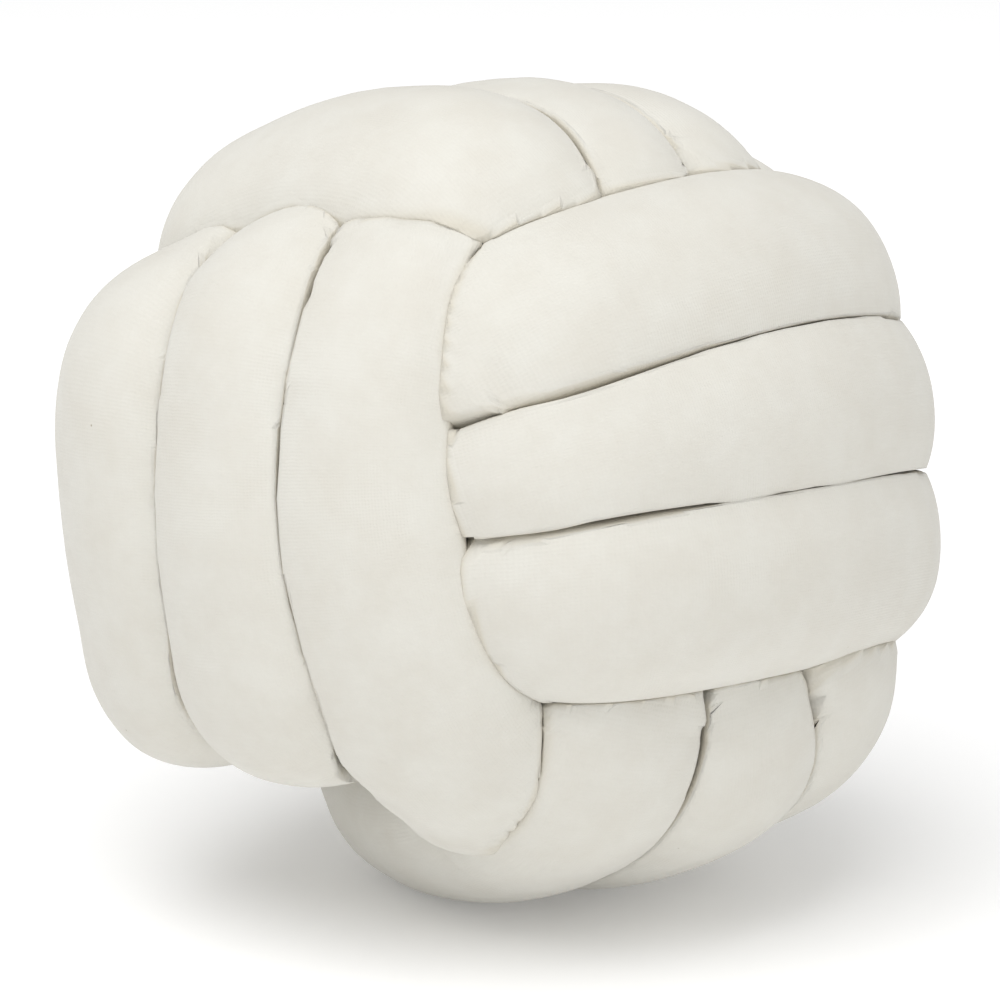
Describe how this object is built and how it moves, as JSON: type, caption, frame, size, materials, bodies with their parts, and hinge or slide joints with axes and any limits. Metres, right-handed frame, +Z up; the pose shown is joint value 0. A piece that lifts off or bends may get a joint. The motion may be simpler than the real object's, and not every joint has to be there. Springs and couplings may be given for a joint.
{
  "type": "knot cushion",
  "caption": "Ball-shaped knot cushion wound from one long stuffed fleece tube in crossing bands, its ends hidden inside, with a small flat to rest on.",
  "frame": {"origin": "middle of the bounding box's footprint, on the floor under the ball", "axes": "+Z up; the side between -Y and +X shows two faces of the knot with one band's turns upright on the left and one band's turns lying on the right"},
  "size_m": [0.2952, 0.298, 0.2902],
  "materials": {
    "cream_fleece": "brushed knit fleece, matt"
  },
  "bodies": {
    "root": {"stuffed_tube": "cream_fleece"}
  },
  "joints": []
}
